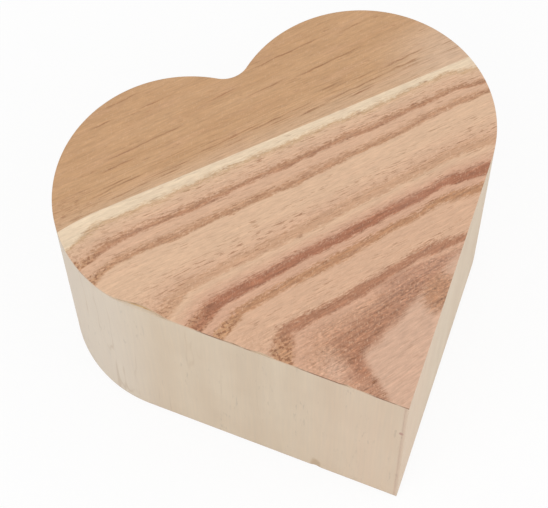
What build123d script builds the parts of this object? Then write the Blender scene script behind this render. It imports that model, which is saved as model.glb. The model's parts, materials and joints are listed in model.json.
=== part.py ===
"""Heart-shaped wooden music box with a wind-up comb movement inside.

Millimetres, +Z up.  The origin is the middle of the underside.  The tip of the heart points
along -Y, its two lobes lie towards +Y.  The movement stands on a board that is let into the
underside, and its winding key hangs in the recess below that board.
"""

import os
from math import asin, atan2, cos, hypot, pi, radians, sin, sqrt

from build123d import *

# Heart block
lobe_radius = 28.5
lobe_offset = 20.3
tip_distance = 63.0
cleft_radius = 5.9
block_height = 52.0
top_veneer_thickness = 0.6
side_veneer_thickness = 0.7
side_veneer_lift = 0.3
veneer_seam = 0.15
recess_wall = 6.5
ledge_width = 4.5
key_recess_depth = 14.0
chamber_headroom = 1.6

# Board that carries the movement, and its screws
board_thickness = 3.0
board_clearance = 0.3
board_screw_radius = 1.2
lobe_screw_angle = 50
board_screw_depth = 7.0
board_screw_head_radius = 2.4
board_screw_head_height = 1.5
movement_screw_radius = 1.25
movement_screw_depth = 3.6
movement_screw_head_radius = 2.5
movement_screw_head_height = 1.6
arbor_opening_radius = 4.6
drive_slot_width = 0.7
drive_slot_depth = 0.6

# General fits
running_clearance = 0.05
screw_hole_clearance = 0.25
end_shake = 0.25
movement_clearance = 0.5
coil_side_count = 16
half_turn = 180

# Bedplate
bedplate_thickness = 2.0
bedplate_margin = 1.6
bedplate_corner_radius = 2.0
boss_radius = 2.8
lug_thickness = 1.2
lug_width = 5.0

# Gear train
module = 0.4
tooth_share = 0.36
flank_angle = 20
tooth_sink = 0.2
addendum = 0.8
dedendum = 1.15
crown_teeth = 50
cylinder_pinion_teeth = 16
cylinder_wheel_teeth = 40
governor_pinion_teeth = 10
worm_wheel_teeth = 24
gear_face = 1.8
worm_wheel_face = 1.4

# Spring barrel, mainspring and winding arbor
barrel_wall = 0.6
barrel_rim = 1.2
barrel_depth = 6.2
crown_disc_thickness = 1.0
crown_face = 1.6
clutch_space = 3.2
arbor_radius = 1.75
arbor_collar_radius = 2.6
arbor_top_radius = 1.5
spring_thickness = 0.3
spring_pitch = 2.6
spring_clearance = 0.3
clutch_wire = 0.5
clutch_pitch = 0.6
clutch_turn_count = 3
clutch_tail = 5.0

# Winding key
key_gap = 1.0
key_boss_radius = 3.2
key_boss_length = 6.5
key_thread_depth = 5.0
key_wing_radius = 4.7
key_wing_reach = 7.2
key_wing_hole_radius = 2.1
key_wing_thickness = 1.8
key_wing_drop = 5.6

# Pinned cylinder
cylinder_radius = 6.4
cylinder_wall = 0.9
cylinder_arbor_radius = 0.9
pin_height = 0.8
pin_width = 0.34
pin_root = 0.25
least_pin_count = 2
pin_cycle_count = 2
pin_turn_angle = 37

# Comb
note_count = 18
note_pitch = 0.9
tooth_width = 0.62
tooth_thickness = 0.7
longest_tooth = 15.0
shortest_tooth = 10.5
comb_base_length = 8.0
comb_base_thickness = 1.8
comb_side_margin = 1.3
tooth_tip_gap = 0.15
comb_screw_radius = 1.0
comb_screw_depth = 4.0
comb_screw_head_radius = 2.0
comb_screw_head_height = 1.2
comb_screw_spacing = 10.5
lead_count = 7
lead_length = 3.0
lead_deepest = 2.4
lead_shallowest = 0.8

# Governor
governor_arbor_radius = 0.7
governor_hub_radius = 1.5
governor_gap = 3.6
worm_core_radius = 1.2
worm_radius = 1.98
worm_thread_share = 0.34
worm_crest_share = 0.6
worm_turn_count = 3
worm_pivot_radius = 0.5
fly_radius = 4.3
fly_height = 2.6
fly_thickness = 0.6
fly_hub_radius = 1.3
bracket_thickness = 1.2
bracket_half_width = 2.2
governor_screw_radius = 0.9
governor_screw_head_radius = 1.8
governor_screw_head_height = 1.1

# Places that follow from the sizes above
lobe_line_y = (tip_distance - lobe_radius) / 2
tip_y = lobe_line_y - tip_distance
tip_to_lobe = hypot(lobe_offset, tip_distance)
half_tip_angle = asin(lobe_radius / tip_to_lobe) + atan2(lobe_offset, tip_distance)
cleft_centre_y = lobe_line_y + sqrt((lobe_radius + cleft_radius) ** 2 - lobe_offset**2)
veneer_bottom_z = block_height - top_veneer_thickness

ledge_z = key_recess_depth + board_thickness
bed_top_z = ledge_z + bedplate_thickness

crown_pitch_radius = module * crown_teeth / 2
cylinder_pinion_radius = module * cylinder_pinion_teeth / 2
cylinder_wheel_radius = module * cylinder_wheel_teeth / 2
governor_pinion_radius = module * governor_pinion_teeth / 2
worm_wheel_radius = module * worm_wheel_teeth / 2
worm_pitch_radius = worm_radius - addendum * module

barrel_x, barrel_y = -lobe_offset, lobe_line_y
barrel_radius = crown_pitch_radius + barrel_rim
barrel_z = bed_top_z + clutch_space
crown_disc_z = barrel_z + barrel_depth
crown_root_z = crown_disc_z + crown_disc_thickness
axis_y = barrel_y
axis_z = crown_root_z + dedendum * module + cylinder_pinion_radius

pinion_x = barrel_x + crown_pitch_radius - gear_face / 2
left_lug_x = max(barrel_x + barrel_radius, pinion_x + gear_face) + end_shake
cylinder_x = left_lug_x + lug_thickness + end_shake
cylinder_length = note_pitch * (note_count - 1) + 2 * comb_side_margin
cylinder_wheel_x = cylinder_x + cylinder_length
right_lug_x = cylinder_wheel_x + gear_face + end_shake
pin_circle = cylinder_radius + pin_height

governor_y = axis_y + cylinder_wheel_radius + governor_pinion_radius
governor_back_y = governor_y + bracket_half_width
inner_cheek_x = cylinder_wheel_x - end_shake - bracket_thickness
worm_wheel_x = right_lug_x + lug_thickness + governor_gap
worm_x = worm_wheel_x + worm_wheel_face / 2
worm_y = governor_y - worm_wheel_radius - worm_pitch_radius
outer_cheek_x = worm_x + fly_radius + end_shake + running_clearance
bracket_foot_z = bed_top_z
bracket_floor_z = bracket_foot_z + bracket_thickness
worm_pitch = pi * module
worm_z = axis_z - (worm_turn_count // 2 + 1 / 4) * worm_pitch
fly_z = axis_z + worm_wheel_radius + addendum * module + 2 * end_shake
bracket_arm_z = fly_z + fly_height + end_shake
chamber_top_z = max(bracket_arm_z + bracket_thickness, axis_z + cylinder_wheel_radius) + chamber_headroom

tooth_tip_y = axis_y - pin_circle - tooth_tip_gap
comb_left_x = cylinder_x
comb_right_x = comb_left_x + cylinder_length
comb_front_y = tooth_tip_y - longest_tooth - comb_base_length
comb_base_top_z = axis_z + tooth_thickness / 2
comb_base_z = comb_base_top_z - comb_base_thickness
comb_middle_x = (comb_left_x + comb_right_x) / 2
comb_screw_y = comb_front_y + comb_base_length / 2

board_screw_inset = recess_wall + board_screw_head_radius + board_clearance
lobe_screw_x = lobe_offset + (lobe_radius - board_screw_inset) * cos(radians(lobe_screw_angle))
lobe_screw_y = lobe_line_y + (lobe_radius - board_screw_inset) * sin(radians(lobe_screw_angle))
board_screw_places = [
    (lobe_screw_x, lobe_screw_y),
    (-lobe_screw_x, lobe_screw_y),
    (0, tip_y + board_screw_inset / sin(half_tip_angle)),
]
movement_screw_places = [
    (comb_middle_x - comb_screw_spacing / 2, comb_screw_y),
    (comb_middle_x + comb_screw_spacing / 2, comb_screw_y),
    (comb_left_x + boss_radius, axis_y + pin_circle),
]


def heart_outline(inset):
    """Heart of two lobes, two straight flanks and a rounded cleft, moved inwards by inset."""
    lobe = lobe_radius - inset
    cleft = cleft_radius + inset
    tip = (0, tip_y + inset / sin(half_tip_angle))
    centre = Vector(lobe_offset, lobe_line_y)
    cleft_centre = Vector(0, cleft_centre_y)
    cleft_end = centre + (cleft_centre - centre).normalized() * lobe
    flank_start = centre + Vector(cos(half_tip_angle), -sin(half_tip_angle)) * lobe
    cleft_bottom = cleft_centre - Vector(0, cleft)
    bisector = ((cleft_end - cleft_centre).normalized() + Vector(0, -1)).normalized()
    lobe_side = centre + Vector(lobe, 0)
    with BuildLine() as outline:
        ThreePointArc(cleft_bottom, cleft_centre + bisector * cleft, cleft_end)
        ThreePointArc(cleft_end, lobe_side, flank_start)
        Line(flank_start, tip)
        mirror(about=Plane.YZ)
    return outline.edges()


def half_tooth(radius, pitch_radius):
    """Half thickness of a straight-sided tooth that narrows from its root to its tip."""
    pitch_half = tooth_share * pi * module / 2
    return pitch_half - (radius - pitch_radius) * sin(radians(flank_angle))


def spur_teeth(teeth, first_angle):
    """Adds a spur gear's face to the sketch in hand, with one tooth centred at first_angle."""
    pitch = module * teeth / 2
    root = pitch - dedendum * module
    tip = pitch + addendum * module
    tooth = [
        Vector(root, -half_tooth(root, pitch)),
        Vector(tip, -half_tooth(tip, pitch)),
        Vector(tip, half_tooth(tip, pitch)),
        Vector(root, half_tooth(root, pitch)),
    ]
    angles = [first_angle + 2 * half_turn * place / teeth for place in range(teeth)]
    Polygon(*(corner.rotate(Axis.Z, angle) for angle in angles for corner in tooth), align=None)


def across(x, y=axis_y, z=axis_z):
    """Plane square to X: its own x runs along +Y and its own y along +Z."""
    return Plane(origin=(x, y, z), x_dir=(0, 1, 0), z_dir=(1, 0, 0))


def level(z, x=0.0, y=0.0):
    """Horizontal plane at height z with its origin at x, y."""
    return Plane(origin=(x, y, z))


def coil_plane(x, y, z, radius, turn):
    """Plane through an upright axis after some turns: its own x points outwards, its own y up."""
    angle = 2 * pi * turn
    return Plane(
        origin=(x + radius * cos(angle), y + radius * sin(angle), z),
        x_dir=(cos(angle), sin(angle), 0),
        z_dir=(sin(angle), -cos(angle), 0),
    )


def keep(piece, name):
    """Labels a finished piece and writes it to its own file."""
    piece.part.label = name
    export_step(piece.part, f"parts/{name}.step")


os.makedirs("parts", exist_ok=True)

# Heart block with the chamber for the movement, the ledge for the board and the key recess
with BuildPart() as heart_body:
    with BuildSketch():
        make_face(heart_outline(side_veneer_thickness))
    extrude(amount=veneer_bottom_z)
    with BuildSketch():
        make_face(heart_outline(recess_wall))
    extrude(amount=ledge_z, mode=Mode.SUBTRACT)
    with BuildSketch(level(ledge_z)):
        make_face(heart_outline(recess_wall + ledge_width))
    extrude(amount=chamber_top_z - ledge_z, mode=Mode.SUBTRACT)
    with BuildSketch(level(ledge_z)):
        with Locations((inner_cheek_x - movement_clearance, governor_back_y + movement_clearance)):
            Rectangle(
                outer_cheek_x + bracket_thickness - inner_cheek_x + 2 * movement_clearance,
                governor_back_y - axis_y + movement_clearance,
                align=(Align.MIN, Align.MAX),
            )
    extrude(amount=chamber_top_z - ledge_z, mode=Mode.SUBTRACT)
    with BuildSketch(level(ledge_z)):
        with Locations(*board_screw_places):
            Circle(board_screw_radius)
    extrude(amount=board_screw_depth - board_thickness, mode=Mode.SUBTRACT)

# Edge strip wrapped round the block, its two ends butted beside the tip
with BuildPart() as side_veneer:
    with BuildSketch(level(side_veneer_lift)):
        make_face(heart_outline(0))
        make_face(heart_outline(side_veneer_thickness), mode=Mode.SUBTRACT)
    extrude(amount=veneer_bottom_z - side_veneer_lift)
    seam_depth = 2 * side_veneer_thickness
    flank_across = (-cos(half_tip_angle), -sin(half_tip_angle), 0)
    seam_plane = Plane(
        origin=(0, tip_y + side_veneer_thickness / sin(half_tip_angle), 0),
        x_dir=flank_across,
        z_dir=(0, 0, 1),
    )
    with BuildSketch(seam_plane):
        Rectangle(2 * seam_depth, veneer_seam, align=(Align.CENTER, Align.CENTER))
    extrude(amount=veneer_bottom_z, mode=Mode.SUBTRACT)

# Striped veneer on the top face
with BuildPart() as top_veneer:
    with BuildSketch(level(veneer_bottom_z)):
        make_face(heart_outline(0))
    extrude(amount=top_veneer_thickness)

# Board under the movement
with BuildPart() as mounting_board:
    with BuildSketch(level(key_recess_depth)):
        make_face(heart_outline(recess_wall + board_clearance))
        with Locations((barrel_x, barrel_y)):
            Circle(arbor_opening_radius, mode=Mode.SUBTRACT)
        with Locations(*board_screw_places):
            Circle(board_screw_radius + screw_hole_clearance, mode=Mode.SUBTRACT)
        with Locations(*movement_screw_places):
            Circle(movement_screw_radius + screw_hole_clearance, mode=Mode.SUBTRACT)
    extrude(amount=board_thickness)


def screw_group(places, seat_z, up, radius, depth, head_radius, head_height):
    """Slotted cheese-head screws, one at each place, driven up or down from their seat."""
    with BuildPart() as screws:
        with BuildSketch(level(seat_z)):
            with Locations(*places):
                Circle(radius)
        extrude(amount=up * depth)
        with BuildSketch(level(seat_z)):
            with Locations(*places):
                Circle(head_radius)
        extrude(amount=-up * head_height)
        with BuildSketch(level(seat_z - up * head_height)):
            with Locations(*places):
                Rectangle(2 * head_radius, drive_slot_width)
        extrude(amount=up * drive_slot_depth, mode=Mode.SUBTRACT)
    return screws


board_screws = screw_group(
    board_screw_places,
    key_recess_depth,
    1,
    board_screw_radius,
    board_screw_depth,
    board_screw_head_radius,
    board_screw_head_height,
)
movement_screws = screw_group(
    movement_screw_places,
    key_recess_depth,
    1,
    movement_screw_radius,
    board_thickness + movement_screw_depth,
    movement_screw_head_radius,
    movement_screw_head_height,
)

# Cast bedplate: floor, comb rest, bearing lugs and the boss for the rear screw
comb_screw_places = [
    (comb_middle_x - comb_screw_spacing / 2, comb_screw_y),
    (comb_middle_x + comb_screw_spacing / 2, comb_screw_y),
]
governor_screw_places = [(right_lug_x + lug_thickness, governor_y)]
plate_back_y = axis_y + pin_circle + boss_radius
with BuildPart() as bedplate:
    with BuildSketch(level(ledge_z)) as bedplate_floor:
        with Locations((barrel_x, barrel_y)):
            Circle(barrel_radius + bedplate_margin)
        with Locations((barrel_x, comb_front_y + comb_base_length)):
            Rectangle(
                right_lug_x + lug_thickness - barrel_x,
                plate_back_y - comb_front_y - comb_base_length,
                align=(Align.MIN, Align.MIN),
            )
        with Locations((comb_left_x, comb_front_y)):
            Rectangle(
                cylinder_length,
                axis_y - comb_front_y,
                align=(Align.MIN, Align.MIN),
            )
        with Locations((inner_cheek_x, worm_y - fly_radius)):
            Rectangle(
                outer_cheek_x + bracket_thickness - inner_cheek_x,
                governor_back_y - worm_y + fly_radius,
                align=(Align.MIN, Align.MIN),
            )
        fillet(bedplate_floor.vertices().group_by(Axis.Y)[0], bedplate_corner_radius)
        fillet(bedplate_floor.vertices().group_by(Axis.X)[-1], bedplate_corner_radius)
    extrude(amount=bedplate_thickness)
    with BuildSketch(level(bed_top_z)):
        with Locations((comb_left_x, comb_front_y)):
            Rectangle(cylinder_length, comb_base_length, align=(Align.MIN, Align.MIN))
    extrude(amount=comb_base_z - bed_top_z)
    with BuildSketch(level(bed_top_z)):
        with Locations(movement_screw_places[-1]):
            Circle(boss_radius)
    extrude(amount=movement_screw_depth)
    for lug_x in (left_lug_x, right_lug_x):
        with BuildSketch(across(lug_x)):
            Circle(lug_width / 2)
            Rectangle(lug_width, axis_z - bed_top_z, align=(Align.CENTER, Align.MAX))
            Circle(cylinder_arbor_radius + running_clearance, mode=Mode.SUBTRACT)
        extrude(amount=lug_thickness)
    with BuildSketch(level(ledge_z)):
        with Locations((barrel_x, barrel_y)):
            Circle(arbor_radius + running_clearance)
    extrude(amount=bedplate_thickness, mode=Mode.SUBTRACT)
    with BuildSketch(level(ledge_z)):
        with Locations(*movement_screw_places):
            Circle(movement_screw_radius)
    extrude(amount=movement_screw_depth, mode=Mode.SUBTRACT)
    with BuildSketch(level(comb_base_z)):
        with Locations(*comb_screw_places):
            Circle(comb_screw_radius)
    extrude(amount=-(comb_screw_depth - comb_base_thickness), mode=Mode.SUBTRACT)
    with BuildSketch(level(bed_top_z)):
        with Locations(*governor_screw_places):
            Circle(governor_screw_radius)
    extrude(amount=-bedplate_thickness, mode=Mode.SUBTRACT)

# Winding arbor: threaded end, collar for the one-way spring, hub for the mainspring, top pivot
key_top_z = key_recess_depth - key_gap
arbor_foot_z = key_top_z - key_thread_depth
collar_z = bed_top_z + running_clearance
collar_top_z = barrel_z - running_clearance
hub_top_z = crown_disc_z - running_clearance
arbor_profile = [
    (0, arbor_foot_z),
    (arbor_radius, arbor_foot_z),
    (arbor_radius, collar_z),
    (arbor_collar_radius, collar_z),
    (arbor_collar_radius, collar_top_z),
    (arbor_radius, collar_top_z),
    (arbor_radius, hub_top_z),
    (arbor_top_radius, hub_top_z),
    (arbor_top_radius, crown_root_z),
    (0, crown_root_z),
]
arbor_section = Plane(origin=(barrel_x, barrel_y, 0), x_dir=(1, 0, 0), z_dir=(0, -1, 0))
arbor_axis = Axis((barrel_x, barrel_y, 0), (0, 0, 1))
with BuildPart() as winding_arbor:
    with BuildSketch(arbor_section):
        with BuildLine():
            Polyline(*arbor_profile, close=True)
        make_face()
    revolve(axis=arbor_axis)

# Butterfly winding key
with BuildPart() as winding_key:
    with BuildSketch(level(key_top_z, barrel_x, barrel_y)):
        Circle(key_boss_radius)
    extrude(amount=-key_boss_length)
    for side in (-1, 1):
        with BuildSketch(arbor_section) as wing:
            with Locations((side * key_wing_reach, key_top_z - key_wing_drop)):
                Circle(key_wing_radius)
            with Locations((0, key_top_z - key_wing_drop)):
                Circle(key_boss_radius - key_wing_thickness / 2)
            make_hull()
            with Locations((side * key_wing_reach, key_top_z - key_wing_drop)):
                Circle(key_wing_hole_radius, mode=Mode.SUBTRACT)
        extrude(amount=key_wing_thickness / 2, both=True)
    with BuildSketch(level(key_top_z, barrel_x, barrel_y)):
        Circle(arbor_radius)
    extrude(amount=-key_thread_depth, mode=Mode.SUBTRACT)

# One-way spring gripping the arbor's collar, with its tail along the bedplate
clutch_bore_radius = (arbor_collar_radius + running_clearance) / cos(pi / coil_side_count)
clutch_radius = clutch_bore_radius + clutch_wire / 2
clutch_z = bed_top_z + clutch_wire / 2 + running_clearance
with BuildPart() as clutch_spring:
    for side in range(clutch_turn_count * coil_side_count + 1):
        turn = side / coil_side_count
        rise = clutch_z + turn * clutch_pitch
        with BuildSketch(coil_plane(barrel_x, barrel_y, rise, clutch_radius, turn)):
            Rectangle(clutch_wire, clutch_wire)
    loft(ruled=True)
    with BuildSketch(coil_plane(barrel_x, barrel_y, clutch_z, clutch_radius, 0)):
        Rectangle(clutch_wire, clutch_wire)
    extrude(amount=clutch_tail)

# Spring barrel: a drawn cup that turns on the arbor
with BuildPart() as spring_barrel:
    with BuildSketch(level(barrel_z, barrel_x, barrel_y)):
        Circle(barrel_radius)
    extrude(amount=barrel_depth)
    with BuildSketch(level(barrel_z + barrel_wall, barrel_x, barrel_y)):
        Circle(barrel_radius - barrel_wall)
    extrude(amount=barrel_depth - barrel_wall, mode=Mode.SUBTRACT)
    with BuildSketch(level(barrel_z, barrel_x, barrel_y)):
        Circle(arbor_radius + running_clearance)
    extrude(amount=barrel_wall, mode=Mode.SUBTRACT)

# Crown wheel that closes the barrel: radial teeth stand up from its rim
crown_pitch_z = crown_root_z + dedendum * module
crown_inner_radius = crown_pitch_radius - crown_face / 2
with BuildPart() as crown_tooth:
    with BuildSketch(across(crown_inner_radius, 0, crown_pitch_z)):
        Polygon(
            (-half_tooth(-dedendum * module, 0), -dedendum * module - tooth_sink),
            (half_tooth(-dedendum * module, 0), -dedendum * module - tooth_sink),
            (half_tooth(addendum * module, 0), addendum * module),
            (-half_tooth(addendum * module, 0), addendum * module),
            align=None,
        )
    extrude(amount=crown_face)
with BuildPart(level(0, barrel_x, barrel_y)) as crown_wheel:
    with BuildSketch(level(crown_disc_z, barrel_x, barrel_y)):
        Circle(barrel_radius)
        Circle(arbor_top_radius + running_clearance, mode=Mode.SUBTRACT)
    extrude(amount=crown_disc_thickness)
    with PolarLocations(0, crown_teeth, start_angle=half_turn / crown_teeth):
        add(crown_tooth.part)

# Mainspring: a flat strip wound in half turns about two centres
spring_inner = arbor_radius + running_clearance + spring_thickness
spring_outer = barrel_radius - barrel_wall - spring_clearance
half_turn_count = 2 * int((spring_outer - spring_inner) / spring_pitch) - 1
spring_z = barrel_z + barrel_wall + spring_clearance
spring_height = crown_disc_z - spring_clearance - spring_z


def spring_side(offset):
    """Edges of one side of the strip, as half circles whose radius grows by half a pitch."""
    with BuildLine() as side:
        for turn in range(half_turn_count):
            centre = (0, 0) if turn % 2 == 0 else (-spring_pitch / 2, 0)
            radius = spring_outer - turn * spring_pitch / 2 + offset
            start = 0 if turn % 2 == 0 else half_turn
            CenterArc(centre, radius, start, half_turn)
    return side


with BuildPart() as mainspring:
    with BuildSketch(level(spring_z, barrel_x, barrel_y)):
        outer_side = spring_side(0)
        inner_side = spring_side(-spring_thickness)
        with BuildLine() as strip:
            add(outer_side.line)
            add(inner_side.line)
            Line(outer_side.line @ 0, inner_side.line @ 0)
            Line(outer_side.line @ 1, inner_side.line @ 1)
        make_face()
    extrude(amount=spring_height)

# Pinned cylinder: a tube closed at its left end, with one ring of pins for each note
with BuildPart() as pinned_cylinder:
    with BuildSketch(across(cylinder_x)):
        Circle(cylinder_radius)
        Circle(cylinder_arbor_radius, mode=Mode.SUBTRACT)
    extrude(amount=cylinder_length)
    with BuildSketch(across(cylinder_x + cylinder_wall)):
        Circle(cylinder_radius - cylinder_wall)
    extrude(amount=cylinder_length - cylinder_wall, mode=Mode.SUBTRACT)
    for note in range(note_count):
        pins = least_pin_count + note % pin_cycle_count
        note_x = comb_left_x + comb_side_margin + note * note_pitch
        with BuildSketch(across(note_x - pin_width / 2)):
            with PolarLocations(cylinder_radius - pin_root, pins, start_angle=pin_turn_angle * note):
                Rectangle(pin_height + pin_root, pin_width, align=(Align.MIN, Align.CENTER))
        extrude(amount=pin_width)

# Cylinder arbor, drive pinion and the wheel that plugs the open end of the cylinder
with BuildPart() as cylinder_arbor:
    with BuildSketch(across(pinion_x)):
        Circle(cylinder_arbor_radius)
    extrude(amount=right_lug_x + lug_thickness - pinion_x)

with BuildPart() as cylinder_pinion:
    with BuildSketch(across(pinion_x)):
        spur_teeth(cylinder_pinion_teeth, -half_turn / 2)
        Circle(cylinder_arbor_radius, mode=Mode.SUBTRACT)
    extrude(amount=gear_face)

with BuildPart() as cylinder_wheel:
    with BuildSketch(across(cylinder_wheel_x)):
        spur_teeth(cylinder_wheel_teeth, 0)
        Circle(cylinder_arbor_radius, mode=Mode.SUBTRACT)
    extrude(amount=gear_face)
    with BuildSketch(across(cylinder_wheel_x)):
        Circle(cylinder_radius - cylinder_wall)
        Circle(cylinder_arbor_radius, mode=Mode.SUBTRACT)
    extrude(amount=-gear_face)

# Tuned steel comb: a thick base and teeth that shorten towards the high notes
with BuildPart() as comb:
    with BuildSketch(level(comb_base_z)):
        with Locations((comb_left_x, comb_front_y)):
            Rectangle(cylinder_length, comb_base_length, align=(Align.MIN, Align.MIN))
        with Locations(*comb_screw_places):
            Circle(comb_screw_radius + screw_hole_clearance, mode=Mode.SUBTRACT)
    extrude(amount=comb_base_thickness)
    base_back_y = comb_front_y + comb_base_length
    with BuildSketch(level(comb_base_top_z)):
        with BuildLine():
            Polyline(
                (comb_left_x, base_back_y),
                (comb_right_x, base_back_y),
                (comb_right_x, tooth_tip_y - shortest_tooth),
                (comb_left_x, tooth_tip_y - longest_tooth),
                close=True,
            )
        make_face()
        for note in range(note_count):
            note_x = comb_left_x + comb_side_margin + note * note_pitch
            with Locations((note_x, tooth_tip_y)):
                Rectangle(tooth_width, longest_tooth, align=(Align.CENTER, Align.MAX))
    extrude(amount=-tooth_thickness)

comb_screws = screw_group(
    comb_screw_places,
    comb_base_top_z,
    -1,
    comb_screw_radius,
    comb_screw_depth,
    comb_screw_head_radius,
    comb_screw_head_height,
)

# Lead weights under the tips of the longest teeth
with BuildPart() as tuning_leads:
    for note in range(lead_count):
        note_x = comb_left_x + comb_side_margin + note * note_pitch
        with BuildSketch(level(axis_z - tooth_thickness / 2)):
            with Locations((note_x, tooth_tip_y - tooth_thickness)):
                Rectangle(tooth_width, lead_length, align=(Align.CENTER, Align.MAX))
        extrude(amount=-lead_deepest + (lead_deepest - lead_shallowest) * note / lead_count)

# Governor bracket: foot, two cheeks for the worm wheel's arbor and an arm over the fly
with BuildPart() as governor_bracket:
    with BuildSketch(level(bracket_foot_z)):
        with Locations((inner_cheek_x, governor_back_y)):
            Rectangle(
                outer_cheek_x + bracket_thickness - inner_cheek_x,
                2 * bracket_half_width,
                align=(Align.MIN, Align.MAX),
            )
        with Locations((outer_cheek_x + bracket_thickness, governor_back_y)):
            Rectangle(
                outer_cheek_x + bracket_thickness - right_lug_x - lug_thickness - end_shake,
                governor_back_y - worm_y + bracket_half_width,
                align=(Align.MAX, Align.MAX),
            )
    extrude(amount=bracket_thickness)
    with BuildSketch(across(inner_cheek_x, governor_y)):
        Circle(bracket_half_width)
        Rectangle(
            2 * bracket_half_width, axis_z - bracket_foot_z, align=(Align.CENTER, Align.MAX)
        )
    extrude(amount=bracket_thickness)
    with BuildSketch(across(outer_cheek_x, governor_back_y, bracket_foot_z)):
        Rectangle(
            governor_back_y - worm_y + bracket_half_width,
            bracket_arm_z + bracket_thickness - bracket_foot_z,
            align=(Align.MAX, Align.MIN),
        )
    extrude(amount=bracket_thickness)
    with BuildSketch(level(bracket_arm_z, worm_x, worm_y)):
        Circle(bracket_half_width)
        Rectangle(
            outer_cheek_x - worm_x, 2 * bracket_half_width, align=(Align.MIN, Align.CENTER)
        )
    extrude(amount=bracket_thickness)
    with BuildSketch(across(inner_cheek_x, governor_y)):
        Circle(governor_arbor_radius + running_clearance)
    extrude(amount=outer_cheek_x + bracket_thickness - inner_cheek_x, mode=Mode.SUBTRACT)
    with BuildSketch(level(bracket_foot_z, worm_x, worm_y)):
        Circle(worm_pivot_radius + running_clearance)
    extrude(amount=bracket_arm_z + bracket_thickness - bracket_foot_z, mode=Mode.SUBTRACT)
    with BuildSketch(level(bracket_foot_z)):
        with Locations(*governor_screw_places):
            Circle(governor_screw_radius + screw_hole_clearance)
    extrude(amount=bracket_thickness, mode=Mode.SUBTRACT)

governor_screw = screw_group(
    governor_screw_places,
    bracket_floor_z,
    -1,
    governor_screw_radius,
    bracket_thickness + bedplate_thickness,
    governor_screw_head_radius,
    governor_screw_head_height,
)

# Governor arbor with its pinion and the worm wheel
with BuildPart() as governor_arbor:
    with BuildSketch(across(inner_cheek_x, governor_y)):
        Circle(governor_arbor_radius)
    extrude(amount=outer_cheek_x + bracket_thickness - inner_cheek_x)

with BuildPart() as governor_pinion:
    with BuildSketch(across(cylinder_wheel_x, governor_y)):
        spur_teeth(governor_pinion_teeth, half_turn + half_turn / governor_pinion_teeth)
        Circle(governor_arbor_radius, mode=Mode.SUBTRACT)
    extrude(amount=gear_face)

with BuildPart() as worm_wheel:
    with BuildSketch(across(worm_wheel_x, governor_y)):
        spur_teeth(worm_wheel_teeth, half_turn + half_turn / worm_wheel_teeth)
        Circle(governor_arbor_radius, mode=Mode.SUBTRACT)
    extrude(amount=worm_wheel_face)
    with BuildSketch(across(cylinder_wheel_x + gear_face, governor_y)):
        Circle(governor_hub_radius)
        Circle(governor_arbor_radius, mode=Mode.SUBTRACT)
    extrude(amount=worm_wheel_x - cylinder_wheel_x - gear_face)

# Worm: a single thread on a core, with a pivot at each end
thread_half = worm_thread_share * worm_pitch / 2
thread_root_half = thread_half + (addendum + dedendum) * module * sin(radians(flank_angle)) / 2
with BuildPart() as governor_worm:
    for side in range(worm_turn_count * coil_side_count + 1):
        turn = side / coil_side_count
        rise = worm_z + turn * worm_pitch
        with BuildSketch(coil_plane(worm_x, worm_y, rise, worm_core_radius, turn)):
            with BuildLine():
                Polyline(
                    (-tooth_sink, -thread_root_half),
                    (worm_radius - worm_core_radius, -thread_half * worm_crest_share),
                    (worm_radius - worm_core_radius, thread_half * worm_crest_share),
                    (-tooth_sink, thread_root_half),
                    close=True,
                )
            make_face()
    loft(ruled=True)
    with BuildSketch(level(bracket_floor_z + running_clearance, worm_x, worm_y)):
        Circle(worm_core_radius)
    extrude(amount=fly_z - bracket_floor_z - running_clearance)
    with BuildSketch(level(bracket_foot_z, worm_x, worm_y)):
        Circle(worm_pivot_radius)
    extrude(amount=bracket_arm_z + bracket_thickness - bracket_foot_z)

# Fly: two flat vanes on a hub, the air brake of the governor
with BuildPart() as governor_fly:
    with BuildSketch(level(fly_z, worm_x, worm_y)):
        Circle(fly_hub_radius)
        Rectangle(2 * fly_radius, fly_thickness)
        Circle(worm_pivot_radius, mode=Mode.SUBTRACT)
    extrude(amount=fly_height)

for name, piece in {
    "heart_body": heart_body,
    "side_veneer": side_veneer,
    "top_veneer": top_veneer,
    "mounting_board": mounting_board,
    "board_screws": board_screws,
    "movement_screws": movement_screws,
    "bedplate": bedplate,
    "winding_arbor": winding_arbor,
    "winding_key": winding_key,
    "clutch_spring": clutch_spring,
    "spring_barrel": spring_barrel,
    "crown_wheel": crown_wheel,
    "mainspring": mainspring,
    "pinned_cylinder": pinned_cylinder,
    "cylinder_arbor": cylinder_arbor,
    "cylinder_pinion": cylinder_pinion,
    "cylinder_wheel": cylinder_wheel,
    "comb": comb,
    "comb_screws": comb_screws,
    "tuning_leads": tuning_leads,
    "governor_bracket": governor_bracket,
    "governor_screw": governor_screw,
    "governor_arbor": governor_arbor,
    "governor_pinion": governor_pinion,
    "worm_wheel": worm_wheel,
    "governor_worm": governor_worm,
    "governor_fly": governor_fly,
}.items():
    keep(piece, name)
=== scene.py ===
"""Looks of the heart-shaped wooden music box: veneers, wood, plated key and movement.

Sizes are written in millimetres, as in the part's source, and become metres as a mesh is made.
"""

import json

import bpy
import numpy as np
from mathutils import Matrix


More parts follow.
